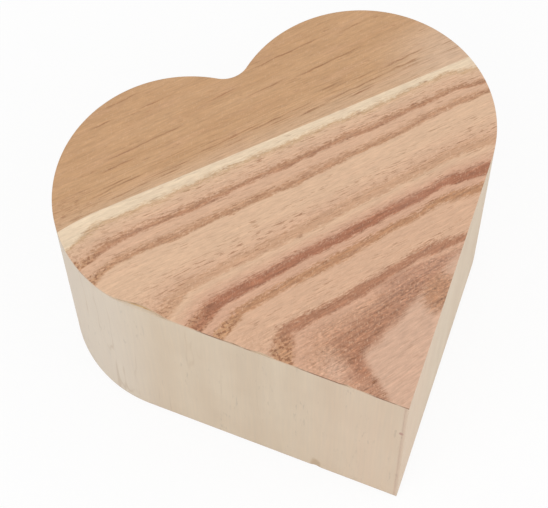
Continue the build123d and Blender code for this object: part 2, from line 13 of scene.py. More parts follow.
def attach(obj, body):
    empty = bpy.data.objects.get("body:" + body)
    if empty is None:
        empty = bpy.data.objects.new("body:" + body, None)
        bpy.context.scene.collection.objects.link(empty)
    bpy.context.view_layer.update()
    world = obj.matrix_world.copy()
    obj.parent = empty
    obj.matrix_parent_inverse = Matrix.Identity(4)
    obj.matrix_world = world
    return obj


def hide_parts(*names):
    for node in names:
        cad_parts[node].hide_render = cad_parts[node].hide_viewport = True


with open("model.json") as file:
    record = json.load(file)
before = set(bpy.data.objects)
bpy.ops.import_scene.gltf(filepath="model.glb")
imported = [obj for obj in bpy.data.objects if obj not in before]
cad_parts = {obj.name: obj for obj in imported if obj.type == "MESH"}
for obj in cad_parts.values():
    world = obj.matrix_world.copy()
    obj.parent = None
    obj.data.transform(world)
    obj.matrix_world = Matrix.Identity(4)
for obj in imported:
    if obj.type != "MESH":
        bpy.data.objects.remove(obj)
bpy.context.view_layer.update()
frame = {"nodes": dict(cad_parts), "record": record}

MM = 0.001
LOBE_RADIUS, LOBE_X, LOBE_Y = 28.5, 20.3, 17.25
TIP_Y, CLEFT_RADIUS = -45.75, 5.9
HEIGHT, TOP_THICKNESS, SIDE_THICKNESS, SIDE_LIFT = 52.0, 0.6, 0.7, 0.3
CLEFT_Y = LOBE_Y + np.sqrt((LOBE_RADIUS + CLEFT_RADIUS) ** 2 - LOBE_X**2)
TIP_ANGLE = np.arcsin(LOBE_RADIUS / np.hypot(LOBE_X, LOBE_Y - TIP_Y)) + np.arctan2(LOBE_X, LOBE_Y - TIP_Y)
CLEFT_ANGLE = np.arctan2(CLEFT_Y - LOBE_Y, -LOBE_X)
FLANK = np.array([np.sin(TIP_ANGLE), np.cos(TIP_ANGLE)])


# Shapes

def heart(inset, flank=90, lobe=130, cleft=20):
    """Heart outline moved inwards by inset, anticlockwise from the tip, and its outward normals.

    Two straight flanks, two lobe arcs of radius R - inset and a cleft arc of radius r + inset.
    Every inset has the same count of points on each stretch.  The last point is next to the tip.
    """
    turn = np.linspace(-TIP_ANGLE, CLEFT_ANGLE, lobe)
    out = np.stack([np.cos(turn), np.sin(turn)], -1)
    right_lobe = [LOBE_X, LOBE_Y] + (LOBE_RADIUS - inset) * out
    tip = np.array([0.0, TIP_Y + inset / np.sin(TIP_ANGLE)])
    along = np.linspace(0, 1, flank, endpoint=False)[:, None]
    right_flank = tip + along * (right_lobe[0] - tip)
    half = np.linspace(CLEFT_ANGLE - np.pi, -np.pi / 2, cleft)[1:]
    bend = np.stack([np.cos(half), np.sin(half)], -1)
    right_cleft = [0.0, CLEFT_Y] + (CLEFT_RADIUS + inset) * bend
    points = np.concatenate([right_flank, right_lobe, right_cleft])
    normals = np.concatenate([np.repeat(out[:1], flank, 0), out, -bend])
    normals[0] = [0, -1]
    mirror = np.array([-1.0, 1.0])
    return (np.concatenate([points, points[-2:0:-1] * mirror]),
            np.concatenate([normals, normals[-2:0:-1] * mirror]))


def lattice(rows, cols, wrap_rows=False, wrap_cols=True):
    """Quads of a grid of rows by cols points, joined round in the directions that wrap."""
    i, j = np.meshgrid(np.arange(rows - (not wrap_rows)), np.arange(cols - (not wrap_cols)), indexing="ij")
    i2, j2 = (i + 1) % rows, (j + 1) % cols
    return np.stack([i * cols + j, i * cols + j2, i2 * cols + j2, i2 * cols + j], -1).reshape(-1, 4).tolist()


def fan(pole, ring, rising):
    """Triangles from a pole to a closed ring of point numbers, turned for a ring below or above it."""
    after = np.roll(ring, -1)
    middle = np.full_like(ring, pole)
    order = [ring, after, middle] if rising else [middle, after, ring]
    return np.stack(order, -1).tolist()


def piece(name, points, faces, body, slot, nodes, sharp=40):
    """Makes a mesh object from points in millimetres and lets it stand for CAD nodes on a body."""
    mesh = bpy.data.meshes.new(name)
    mesh.from_pydata((np.asarray(points) * MM).tolist(), [], faces)
    mesh.validate()
    mesh.shade_smooth()
    mesh.set_sharp_from_angle(angle=np.radians(sharp))
    made = bpy.data.objects.new(name, mesh)
    bpy.context.scene.collection.objects.link(made)
    made.data.materials.append(FINISHES[slot])
    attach(made, body)
    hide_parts(*nodes)


def closed_rings(rings):
    """Points and faces of stacked closed rings (m, n, 3), rising, with a pole in the middle of each end."""
    m, n = rings.shape[:2]
    points = np.concatenate([rings.reshape(-1, 3), [rings[0].mean(0), rings[-1].mean(0)]])
    first, last = np.arange(n), np.arange(n) + (m - 1) * n
    faces = lattice(m, n) + fan(m * n, first, False) + fan(m * n + 1, last, True)
    return points, faces


def striped_top():
    """Veneer on the top: rings up its thin edge, round an eased rim and inwards to the middle.

    The rim is the heart outline moved in by the nicks, each a cosine dent (place on the left
    flank from the tip, half length, depth) that fades out towards the middle of the face.
    Rows of the rim are (inset, height, share of the nicks).
    """
    nicks = [(58.5, 8.0, 1.0), (37.6, 2.4, 0.15), (31.5, 3.4, 0.32), (13.2, 1.5, 0.2), (24.0, 1.2, 0.1)]
    outline, normals = heart(0.0)
    from_tip = np.hypot(outline[:, 0], outline[:, 1] - TIP_Y)
    left = (outline[:, 0] < 0) & (outline[:, 1] < LOBE_Y)
    dent = sum(depth * np.cos(np.clip((from_tip - at) / reach, -1, 1) * np.pi / 2) ** 2
               for at, reach, depth in nicks) * left
    bottom = HEIGHT - TOP_THICKNESS
    rim = [(0.0, bottom, 1.0), (0.0, HEIGHT - 0.12, 1.0), (0.035, HEIGHT - 0.035, 1.0),
           (0.12, HEIGHT, 1.0), (0.6, HEIGHT, 0.5), (1.5, HEIGHT, 0.0)]
    rings = [np.column_stack([heart(inset)[0] - normals * (dent * share)[:, None], np.full(len(dent), z)])
             for inset, z, share in rim]
    middle = np.array([0.0, 8.0])
    inner = heart(rim[-1][0])[0]
    for scale in (0.85, 0.65, 0.45, 0.25, 0.08):
        rings.append(np.column_stack([middle + scale * (inner - middle), np.full(len(inner), HEIGHT)]))
    base = np.column_stack([middle + 0.5 * (outline - middle), np.full(len(outline), bottom)])
    points, faces = closed_rings(np.array([base] + rings))
    piece("striped_top", points, faces, "case", "striped_wood", ["top_veneer"])


def side_strip():
    """Veneer round the sides: a thin upright section carried along the heart from seam to seam.

    The path starts on the left flank just beside the tip, turns the tip and runs right round;
    its ends are square to the left flank.  The foot of the section is eased, and a small chip,
    a cosine dent in the foot's height, sits where the grain has broken out.
    """
    top, foot, ease, crisp, seam_gap = HEIGHT - TOP_THICKNESS, SIDE_LIFT, 0.22, 0.03, 0.02
    chip_place, chip_reach, chip_depth, chip_height = 19.3, 1.4, 0.5, 4.2
    quarter = np.linspace(0, np.pi / 2, 5)
    section = [(ease * (1 - np.sin(a)), foot + ease * (1 - np.cos(a))) for a in quarter]
    section += [(0.0, z) for z in (2.2, chip_height, 16.0, 34.0, top - crisp)]
    section += [(crisp, top), (SIDE_THICKNESS, top), (SIDE_THICKNESS, foot)]
    left_out = np.array([-np.cos(TIP_ANGLE), -np.sin(TIP_ANGLE)])
    left_up = FLANK * [-1, 1]
    corner = np.array([0.0, TIP_Y + SIDE_THICKNESS / np.sin(TIP_ANGLE)])
    rows = []
    for inset, z in section:
        loop = heart(inset, flank=220)[0]
        butt = corner + left_out * (SIDE_THICKNESS - inset)
        full = np.concatenate([[butt - left_up * seam_gap], loop[:-3], [butt]])
        rows.append(np.column_stack([full, np.full(len(full), z)]))
    grid = np.array(rows)
    from_tip = np.hypot(grid[..., 0], grid[..., 1] - TIP_Y)
    left = grid[..., 0] < 0
    chip = np.cos(np.clip((from_tip - chip_place) / chip_reach, -1, 1) * np.pi / 2) ** 2 * left
    low = np.clip((chip_height - grid[..., 2]) / (chip_height - foot), 0, 1)
    grid[..., 2] += chip_depth * chip * low
    m, n = grid.shape[:2]
    faces = lattice(m, n, wrap_rows=True, wrap_cols=False)
    ends = np.arange(m) * n
    faces += [ends.tolist(), (ends + n - 1)[::-1].tolist()]
    piece("side_strip", grid.reshape(-1, 3), faces, "case", "side_wood", ["side_veneer"])


def butterfly_key():
    """Winding key: a turned boss and two cast wings.

    The boss is a profile (radius, height) turned about its axis, with its bore.  A wing lies
    between its finger hole and the hull of two circles, both followed by the angle of their
    normal; its section is a superellipse across that band.
    """
    axis, top = np.array([-LOBE_X, LOBE_Y]), 13.0
    boss = np.array([(0.4, 6.5), (1.9, 6.52), (2.6, 6.7), (3.05, 7.1), (3.2, 7.7), (3.2, 12.5), (3.1, 12.8),
                     (2.85, 13.0), (1.95, 13.0), (1.8, 12.85), (1.8, 8.1), (0.4, 8.05)])
    turn = np.linspace(0, 2 * np.pi, 48, endpoint=False)
    ring = np.stack([np.cos(turn), np.sin(turn)], -1)
    rings = np.concatenate([axis + boss[:, None, :1] * ring, np.repeat(boss[:, None, 1:], len(turn), 1)], -1)
    points, faces = closed_rings(rings)
    wing, hole, neck, reach, drop, thick = 4.7, 2.1, 2.3, 7.2, 5.6, 1.8
    off_axis, square_across, square_deep = 0.03, 0.4, 0.55
    out = np.stack([np.cos(turn + off_axis), np.sin(turn + off_axis)], -1)
    nearer = (-reach * out[:, :1] + neck) > wing
    hull = np.where(nearer, [-reach, 0] + neck * out, wing * out)
    lap = np.linspace(0, 2 * np.pi, 28, endpoint=False)
    across = 0.5 + 0.5 * np.sign(np.cos(lap)) * np.abs(np.cos(lap)) ** square_across
    deep = -thick / 2 * np.sign(np.sin(lap)) * np.abs(np.sin(lap)) ** square_deep
    flat = hole * out + across[:, None, None] * (hull - hole * out)
    grid = np.stack([reach + flat[..., 0], np.broadcast_to(deep[:, None], flat.shape[:2]),
                     top - drop + flat[..., 1]], -1).reshape(-1, 3)
    for side in (1, -1):
        faces += [[k + len(points) for k in quad] for quad in lattice(len(lap), len(turn), wrap_rows=True)]
        points = np.concatenate([points, grid * [side, side, 1] + [*axis, 0]])
    piece("butterfly_key", points, faces, "winder", "key_steel", ["winding_key"], sharp=60)


# Finishes

class Value:
    """A socket in a finish; arithmetic on it adds Math nodes."""

    def __init__(self, finish, socket):
        self.finish, self.socket = finish, socket

    def math(self, operation, *others):
        """Math node on this value and others."""
        return self.finish.node("ShaderNodeMath", {"operation": operation}, dict(enumerate((self, *others))))

    def __add__(self, other):
        return self.math("ADD", other)

    def __sub__(self, other):
        return self.math("SUBTRACT", other)

    def __mul__(self, other):
        return self.math("MULTIPLY", other)

    def __truediv__(self, other):
        return self.math("DIVIDE", other)

    def __rsub__(self, other):
        return self * -1 + other

    def __rtruediv__(self, other):
        return self.math("POWER", -1) * other

    __radd__, __rmul__ = __add__, __mul__

    def step(self, low, high):
        """Smooth step from 0 at low to 1 at high."""
        return self.finish.node("ShaderNodeMapRange", {"interpolation_type": "SMOOTHSTEP"},
                                {0: self, 1: low, 2: high, 3: 0.0, 4: 1.0})

    def hump(self, middle, reach):
        """Smooth hump: 1 at middle, 0 from reach away."""
        return (self - middle).math("ABSOLUTE").step(reach, 0.0)


def paint(r, g, b):
    """Linear colour of a swatch written as it looks on screen, 0 to 255."""
    c = np.array([r, g, b]) / 255
    return (*np.where(c <= 0.04045, c / 12.92, ((c + 0.055) / 1.055) ** 2.4).tolist(), 1.0)


class Finish:
    """Nodes of a material or a world in the making: node() adds any node, done() ends a material."""

    def __init__(self, owner):
        owner.use_nodes = True
        self.owner, self.tree, self.axes = owner, owner.node_tree, []
        self.tree.nodes.clear()

    def node(self, kind, settings=None, sockets=None, out=0):
        """Adds a node: its settings first, then values or links of its sockets; gives one output."""
        made = self.tree.nodes.new(kind)
        for key, value in (settings or {}).items():
            if key == "stops":
                ramp = made.color_ramp.elements
                for at, colour in value[1:-1]:
                    ramp.new(at).color = colour
                ramp[0].position, ramp[0].color = value[0]
                ramp[-1].position, ramp[-1].color = value[-1]
            else:
                setattr(made, key, value)
        for key, value in (sockets or {}).items():
            socket = made.inputs[key]
            if isinstance(value, Value):
                self.tree.links.new(value.socket, socket)
            else:
                socket.default_value = value
        return Value(self, made.outputs[out]) if made.outputs else None

    def place(self):
        """Place on the object, in millimetres, as three values that are made once."""
        if not self.axes:
            at = self.node("ShaderNodeTexCoord", out="Object")
            split = self.node("ShaderNodeSeparateXYZ", None, {0: at})
            self.axes = [Value(self, output) * (1 / MM) for output in split.socket.node.outputs]
        return self.axes

    def noise(self, x, y=0.0, z=0.0, detail=2.0, roughness=0.5, seed=0.0):
        """Soft noise about 0, from about -0.35 to 0.35, whose lumps are about 1 across."""
        at = self.node("ShaderNodeCombineXYZ", None, {0: x + seed, 1: y, 2: z})
        return self.node("ShaderNodeTexNoise", None,
                         {"Vector": at, "Scale": 1.0, "Detail": detail, "Roughness": roughness}) - 0.5

    def mix(self, a, b, share):
        """Colour a where share is 0, b where it is 1."""
        return self.node("ShaderNodeMix", {"data_type": "RGBA"}, {0: share, 6: a, 7: b}, out=2)

    def shade(self, colour, level):
        """Colour made lighter or darker by a level around 1."""
        return self.node("ShaderNodeVectorMath", {"operation": "SCALE"}, {0: colour, "Scale": level})

    def grey(self, colour):
        """Lightness of a colour."""
        return self.node("ShaderNodeRGBToBW", None, {0: colour})

    def ramp(self, value, stops):
        """Colour by value; stops are (value, colour) in rising or falling order."""
        first, last = stops[0][0], stops[-1][0]
        place = (value - first) * (1 / (last - first))
        share = [((at - first) / (last - first), colour) for at, colour in stops]
        return self.node("ShaderNodeValToRGB", {"stops": share}, {0: place})

    def done(self, colour, roughness, relief, depth, metallic=0.0):
        """Ends a material; relief is a height from about 0 to 1 that stands depth millimetres high."""
        bump = self.node("ShaderNodeBump", None, {"Strength": 1.0, "Distance": depth * MM, "Height": relief})
        shader = self.node("ShaderNodeBsdfPrincipled", None, {
            "Base Color": colour, "Roughness": roughness, "Metallic": metallic, "Normal": bump})
        self.node("ShaderNodeOutputMaterial", None, {0: shader})
        return self.owner


def new_finish(name):
    """Finish of a new material."""
    return Finish(bpy.data.materials.new(name))


def rim_depth(f):
    """Depth in from the heart's rim: from its flank near the tip, from its lobe further back."""
    x, y, _ = f.place()
    wide = x.math("ABSOLUTE")
    sine, cosine = FLANK.tolist()
    flank = sine * (y - TIP_Y) - cosine * wide
    lobe_x, lobe_y = (wide - LOBE_X).math("MAXIMUM", 0), y - LOBE_Y
    lobe = LOBE_RADIUS - (lobe_x * lobe_x + lobe_y * lobe_y).math("SQRT")
    return flank + (lobe - flank) * y.step(-5, 0)


def stripe_levels(f, rim):
    """Levels of the fine grain, of the straight stripes, of the V's limb and of the bent stripes.

    A level is height minus slope times x, with a slope that grows towards the tip, drooping
    beside the rim.  Near the tip the bent level turns back in a V: it is the greater of the
    straight one and a limb, a fan of lines between the V's outer and inner side.  Noise makes it
    wobble, and two of the stripes lift towards their ends.
    """
    x, y, _ = f.place()
    lean, spread, middle = 0.05, 0.0027, 12
    level = (y - (lean + spread * middle) * x) / (1 - spread * x)
    lie = lean + spread * (middle - level)
    slope = lie + 0.027 * (-20 - level).math("MAXIMUM", 0)
    steep = 0.42 - 0.17 * y.step(1, 9) * y.step(17, 13) - 0.14 * x.step(20, 44)
    droop = (7.2 - rim).math("SMOOTH_MAX", 0.0, 1.5) * steep * y.step(-34, -12)
    stripe = y - slope * x + droop + 0.9 * x.hump(2, 24) * y.step(-8, -15)
    outer = 0.93 * (x + 14.2) - 0.364 * (y + 19.9)
    inner = -3.2 - x
    past = outer.math("MAXIMUM", 0)
    share = past / (past + inner.math("MAXIMUM", 0.05))
    limb = (inner.math("MINIMUM", 0) - 18.5 - 0.5 * outer.math("MINIMUM", 0)
            - 3 * share.math("POWER", 0.5) - 8 * share.math("POWER", 3))
    wobble = 1.6 * f.noise(x / 18, y / 6) + (0.9 + 0.6 * y.step(6, 11)) * f.noise(x / 4, y / 1.2, seed=9)
    lift = (0.85 * stripe.hump(10.4, 4.2) * x.math("ABSOLUTE").step(24, 36)
            + 0.75 * stripe.hump(-9.4, 3.0) * x.step(20, 27))
    bent = stripe.math("SMOOTH_MAX", limb, 0.8) + wobble - lift
    return y - lie * x, stripe, limb, bent


def frayed_stripes(f, grain, bent, cut, short):
    """Colour of the stripes by their level, how loose each is, its dashes and how far it frays.

    Rows are (level, tone, looseness).  A stripe is sharp below and frayed above: dashes along
    the grain move its level by how loose it is there, and short crumbs do where it is cut across.
    """
    x, y, _ = f.place()
    cream, pale, blush, rose = (232, 209, 179), (219, 182, 150), (214, 173, 142), (210, 165, 136)
    ochre, haze, nut, umber = (202, 166, 128), (202, 159, 126), (185, 139, 105), (178, 129, 97)
    russet, dusk, brick = (181, 131, 103), (166, 109, 80), (199, 153, 123)
    honey, rust = (185, 136, 99), (174, 122, 92)
    stripes = [
        (22.0, cream, 0.0), (19.9, cream, 0.3), (18.9, ochre, 0.7), (18.2, pale, 0.6), (15.8, blush, 0.9),
        (14.8, nut, 0.8), (14.1, umber, 0.3), (13.6, blush, 0.1), (11.9, blush, 0.4), (10.9, haze, 1.0),
        (10.1, nut, 0.8), (9.6, nut, 0.3), (9.1, pale, 0.1), (4.5, pale, 0.3), (1.2, blush, 0.7),
        (0.2, haze, 1.0), (-1.3, haze, 0.6), (-2.0, pale, 0.1), (-4.3, rose, 0.5), (-5.5, dusk, 0.7),
        (-7.0, dusk, 0.3), (-7.5, rose, 0.1), (-8.7, rose, 0.6), (-9.4, honey, 1.0), (-10.5, honey, 0.5),
        (-11.1, blush, 0.1), (-16.3, blush, 0.6), (-17.3, rust, 0.7), (-18.7, rust, 0.3),
        (-19.4, rose, 0.2), (-21.5, brick, 0.8), (-25.0, russet, 1.0),
    ]
    loose = f.grey(f.ramp(bent, [(at, (free, free, free, 1)) for at, _, free in stripes]))
    dash = (4.0 * f.noise(x / 2.2, grain / 0.4, detail=4, roughness=0.7, seed=4)
            + 3.0 * f.noise(x / 0.8, grain / 0.3, seed=15))
    crumb = 6.0 * f.noise(x / 0.9, y / 0.75, seed=90)
    fray = (0.12 + loose) * dash * (1 - 0.6 * cut) + loose * loose * short * crumb
    figure = f.ramp(bent + fray, [(at, paint(*tone)) for at, tone, _ in stripes])
    return figure, loose, dash, fray


def tip_figure(f, figure, bent, dash, fray):
    """Lays the V of the tip over the stripes: clay above it, its arms, dark core and pale wedge.

    The wedge is the lesser of the distances ahead of the V's two straight sides.  A brown patch,
    an ellipse turned along the right flank, lies where the upper arm meets the rim.
    """
    x, y, _ = f.place()
    ahead = 0.91 * (0.454 * (x + 3.1) - 31.9 - y)
    wedge = ahead.math("SMOOTH_MIN", x + 3.1, 1.2) + 0.15 * fray + 2.2 * f.noise(x / 5, y / 5, seed=47)
    clay = x.step(2, 11) * (bent + 0.12 * (x - 8).math("MAXIMUM", 0)).step(-18.4, -19.6)
    arm = bent.step(-22.5, -24.5) * y.step(-33, -28) * x.step(17, 13)
    core = wedge.hump(-1.6, 2.4) * y.step(-27.5, -32.5)
    along, across = (x - 17.0) * 0.69 + (y + 25.6) * 0.73, (y + 25.6) * 0.69 - (x - 17.0) * 0.73
    brown = (along * along / 20 + across * across / 10 + 0.5 * dash).step(1.9, 0.2)
    figure = f.mix(figure, paint(184, 137, 111), 0.8 * clay)
    figure = f.mix(figure, paint(166, 116, 84), 0.35 * arm)
    figure = f.mix(figure, paint(214, 178, 154), 0.5 * x.hump(-9.7, 4) * y.hump(-32, 6))
    figure = f.mix(figure, paint(205, 160, 130), 0.3 * y.step(-34.5, -38))
    figure = f.mix(figure, paint(158, 103, 72), 0.66 * core * (0.2 + 0.8 * y.step(-38, -33)))
    figure = f.mix(figure, paint(209, 170, 144), wedge.step(-1.3, 1.0))
    figure = f.mix(figure, paint(176, 126, 92), 0.85 * brown)
    return figure, wedge, brown


def worn_stripes(f, figure, grain, bent, loose, cut):
    """Dark stripes made paler where the left rim cuts them, specked there, and streaky all along."""
    x, y, _ = f.place()
    dark = f.grey(figure).step(0.44, 0.26)
    figure = f.mix(figure, paint(206, 160, 119), 0.55 * cut * dark * (1 - 0.8 * bent.hump(-6.3, 2.0)))
    speck = f.noise(x / 0.8, y / 0.6, detail=2, seed=95).step(-0.02, 0.09)
    speck = speck * (dark * (0.3 + 0.7 * cut) + 0.5 * loose * cut).math("MINIMUM", 1)
    figure = f.mix(figure, paint(130, 80, 48), 0.7 * speck)
    worn = dark * f.noise(x / 3.5, grain / 0.5, detail=3, seed=92)
    return f.shade(figure, 1 + 1.1 * worn)


def long_pores(f, run):
    """Dark lines of the upper plank: drawn-out noise, fine hairs, stubs at its left end, long pores.

    Rows are (middle x, middle y, length) of the long pores, which rise by tilt and waver a little.
    """
    x, y, _ = f.place()
    pores = [
        (-33.5, 24.7, 14), (-33, 25.5, 8), (-31.5, 22.7, 10), (-22, 23.2, 6), (-7, 25.5, 14.5),
        (5, 25.8, 15.5), (22.5, 25.6, 15), (12.5, 24.5, 7), (23.5, 24.2, 7), (25.5, 27.7, 5.5),
        (35, 28, 11), (34, 26.5, 8.5), (18, 28.2, 5.5), (20.5, 34, 16), (5, 33.6, 9.5), (12, 39.8, 16),
        (28, 40, 6.5), (-30.5, 40, 5.5), (-24, 32, 17.5), (-31, 29.3, 8.5), (-4, 36, 7.5),
        (-17, 40.5, 8.5), (-24.5, 43.7, 9),
    ]
    tilt, half_width = 0.07, 0.27
    wavy = y - tilt * x + 0.8 * f.noise(x / 4, y / 2, detail=3, seed=37)
    line = f.noise(x / 14, run / 0.4, detail=2, seed=33).step(0.06, 0.2) * (0.25 + 0.75 * run.hump(24.6, 4.4))
    for at_x, at_y, length in pores:
        ends = (x - at_x).math("ABSOLUTE").step(length / 2 + 1.5, length / 2 - 2.5)
        line = line.math("MAXIMUM", wavy.hump(at_y - tilt * at_x, half_width) * ends)
    hair = f.noise(x / 16, run / 0.22, detail=1, seed=35).step(0.08, 0.2) * (0.25 + 0.45 * run.hump(25, 6))
    stub = f.noise(x / 1.8, run / 0.5, detail=2, seed=41).step(0.04, 0.16)
    stub = stub * x.step(-39, -42.5) * run.step(29.5, 27)
    line = line.math("MAXIMUM", hair).math("MAXIMUM", 0.75 * stub)
    return line * (0.75 + 2.0 * f.noise(x / 4, run / 0.6, detail=3, seed=39)).math("MAXIMUM", 0)


def tan_plank(f, run):
    """Upper plank: clouded tan, paler beside the glue line and at its right end, with dark pores."""
    x = f.place()[0]
    cloud = 0.5 + 1.6 * f.noise(x / 22, run / 3.5, detail=3, seed=21)
    tan = f.mix(paint(190, 146, 104), paint(204, 162, 121), cloud)
    tan = f.mix(tan, paint(206, 170, 136), 0.8 * run.step(26.5, 22.0))
    tan = f.mix(tan, paint(214, 181, 152), 0.8 * x.step(26, 46) * run.step(37, 26))
    return f.mix(tan, paint(148, 100, 62), 0.85 * long_pores(f, run))


def above_glue(f):
    """1 on the upper plank, 0 on the lower one; the glue line sinks at its left end."""
    x, y, _ = f.place()
    end = (-38 - x).math("MAXIMUM", 0)
    glue_line = y - 0.015 * x - 21.6 + 0.009 * end * end + 0.2 * f.noise(x / 3, 0.0, seed=5)
    return glue_line.step(-0.12, 0.12)


def crowded_flecks(f, run, stripe, upper, wedge):
    """Where short pores crowd together: in clouds, along the light band and at the tan's left end."""
    x = f.place()[0]
    crowd = (f.noise(x / 8, run / 1.6, detail=3, seed=66) + 0.12 * stripe.hump(2.8, 3.5) - 0.06
             + 0.25 * upper * x.step(-38, -44) * run.step(31, 27))
    return crowd.step(-0.06, 0.15) * (0.4 + 0.6 * wedge.step(2.5, -0.5))


def bare_edge(f, wood):
    """The veneer's thin edge: pale core, with darker patches along the left flank."""
    x, y, z = f.place()
    edge = z.step(HEIGHT - 0.06, HEIGHT - 0.14)
    # Darker stretches along the left flank's edge, placed by x.
    dark_stretches = 0.34 * x.hump(-27, 6) + 0.3 * x.hump(-13, 5) + 0.2 * x.hump(-2, 7)
    patch = (f.noise(x / 4, y / 4, seed=70) + dark_stretches).step(0.02, 0.3)
    return f.mix(wood, f.mix(paint(208, 182, 154), paint(140, 100, 72), patch), edge)


def striped_wood():
    """Two planks of striped hardwood glued along a straight line, sanded and lightly oiled.

    Fine fibres, streaks and pores run along each plank's own grain.  The wood around the V is
    torn: burrs of noise stand in for fibres there.  Cut is the strip beside the left flank, where
    the rim cuts across the stripes; short is where their marks crumble, there and on the V's limb.
    """
    f = new_finish("striped_wood")
    x, y, _ = f.place()
    rim = rim_depth(f)
    grain, stripe, limb, bent = stripe_levels(f, rim)
    cut = x.step(4, -4) * rim.step(8, 1) * y.step(-33, -27)
    short = ((1 - rim / 9).math("MAXIMUM", 0) * x.step(4, -4)
             + limb.step(-17, -20) * bent.step(-17, -19)).math("MINIMUM", 1)
    figure, loose, dash, fray = frayed_stripes(f, grain, bent, cut, short)
    figure, wedge, brown = tip_figure(f, figure, bent, dash, fray)
    figure = worn_stripes(f, figure, grain, bent, loose, cut)
    upper, tan_run = above_glue(f), y - 0.045 * x
    wood = f.mix(figure, tan_plank(f, tan_run), upper)

    run = grain + (tan_run - grain) * upper
    fibre = f.noise(x / 2.6, run / 0.36, detail=3, roughness=0.65, seed=50)
    streak = f.noise(x / 12, run / 0.8, detail=3, seed=54)
    frayed = loose * (1 - upper) * (1 - 0.8 * wedge.step(-0.5, 1.0))
    fleck = f.noise(x / 2.4, (run + 0.06 * x) / 0.27, detail=2, seed=60).step(0.03, 0.14)
    crowd = crowded_flecks(f, run, stripe, upper, wedge)
    wood = f.mix(wood, paint(142, 92, 60), fleck * (0.45 * crowd + 0.42 * frayed) * (1 - 0.6 * cut))
    tick = f.noise((0.87 * x - 0.5 * y) / 0.3, (0.5 * x + 0.87 * y) / 0.9, detail=2, seed=63).step(0.06, 0.2)
    wood = f.mix(wood, paint(232, 198, 168), tick * (0.16 + 0.16 * frayed))
    wood = f.mix(wood, paint(224, 176, 148), (0.5 * f.noise(x / 14, run / 2.4, seed=80)).math("MAXIMUM", 0))

    knotty = (bent.step(-18.5, -21) * wedge.step(0.5, -1.5)).math("MAXIMUM", brown)
    burr = f.noise(x / 0.8, y / 0.42, detail=2, seed=97) * (0.85 + 3 * f.noise(x / 4, y / 3, seed=98))
    torn = knotty * (1 + 0.45 * x.step(6, 15)) * (burr + 0.4 * streak)
    plain = 0.4 * wedge.step(0.5, 2.0) * f.noise(x / 2.5, grain / 0.8, detail=3, seed=58)
    wood = f.shade(wood, 1.02 + 0.55 * fibre + 0.3 * streak + torn - 0.2 * knotty * fibre + plain)
    wood = bare_edge(f, wood)
    return f.done(wood, 0.5 + 0.25 * fibre + 0.1 * fleck, relief=0.5 + fibre - 0.6 * fleck, depth=0.012)


def side_wood():
    """Pale upright-grained veneer, bare and matt, pinker near the tip, with painted shade over the chip at
    its foot and along the foot itself.
    """
    f = new_finish("side_wood")
    x, y, z = f.place()
    band = 0.6 * f.noise(x / 7, y / 7, z / 120, detail=3) + 0.5 * f.noise(x / 9, y / 9, z / 16, seed=29)
    fibre = f.noise(x / 0.5, y / 0.5, z / 12, seed=8)
    fleck = f.noise(x / 0.6, y / 0.6, z / 4, detail=1, seed=17).step(0.1, 0.24)
    fleck = fleck * f.noise(x / 5, y / 5, z / 20, seed=23).step(0.0, 0.15)
    wood = f.mix(paint(203, 182, 157), paint(216, 199, 176), 0.5 + 1.8 * band)
    wood = f.mix(wood, paint(216, 203, 187), 0.72 * x.step(-36, -46))
    pink = y.step(-24, -42) * (0.6 + f.noise(x / 2, y / 2, z / 40, seed=3))
    wood = f.mix(wood, paint(215, 188, 163), 0.75 * pink)
    hair = f.noise(x / 5, y / 5, z / 45, detail=2, seed=61).hump(0, 0.02) * x.step(-18, -30)
    hair = hair * f.noise(x / 9, y / 9, z / 30, seed=62).step(0, 0.12)
    wood = f.mix(wood, paint(180, 154, 126), 0.36 * hair)
    wood = f.shade(wood, 1 + 0.14 * fibre - 0.14 * fleck)

    def spot(sx, sy, sz, wide, tall):
        """Roundish mark of a width and a height about a place, 1 in the middle."""
        dx, dy, dz = (x - sx) / wide, (y - sy) / wide, (z - sz) / tall
        return (dx * dx + dy * dy + dz * dz + f.noise(x, y, z / 2, seed=40)).step(1.0, 0.2)

    # Darker spot over the chip at the foot: painted shade in the notch.
    wood = f.mix(wood, paint(184, 156, 124), 0.75 * spot(-13.25, -31.75, 1.5, 1.5, 4.0))
    wood = f.mix(wood, paint(176, 128, 116), 0.8 * spot(-0.62, -45.1, 37.5, 0.6, 0.9))
    # Painted shade: darker towards the foot, where the veneer meets the floor.
    wood = f.mix(wood, paint(190, 160, 138), 0.55 * z.step(1.0, 0.3))
    seam = x.hump(-0.4, 0.4) * y.step(-44.3, -44.8) * (0.75 + f.noise(z / 6, 0.0, seed=44))
    wood = f.mix(wood, paint(186, 150, 132), 0.45 * seam)
    return f.done(wood, 0.62 + 0.3 * fibre, relief=0.5 + fibre, depth=0.01)


def block_wood():
    """Bare sawn softwood: growth lines along x, cutter marks round the walls."""
    f = new_finish("block_wood")
    x, y, z = f.place()
    ring = y + 0.35 * z + 3.2 * f.noise(x / 40, y / 9, z / 9)
    ring = ring / 3.1 + 2.4 * f.noise(ring / 9, 0.0, detail=1, seed=52)
    late = ring.math("FRACT").math("POWER", 2.5)
    fibre = f.noise(x / 6, y / 0.3, z / 0.3, seed=6)
    wood = f.mix(paint(214, 184, 142), paint(188, 146, 100), 0.75 * late)
    wood = f.shade(wood, 1 + 0.2 * fibre)
    scorch = f.noise(x / 7, y / 7, z / 30, seed=12).step(0.05, 0.3) * z.step(0.3, 1.2)
    wood = f.mix(wood, paint(150, 108, 70), 0.35 * scorch)
    return f.done(wood, 0.66 + 0.3 * fibre, relief=0.5 + fibre + 0.2 * late, depth=0.03)


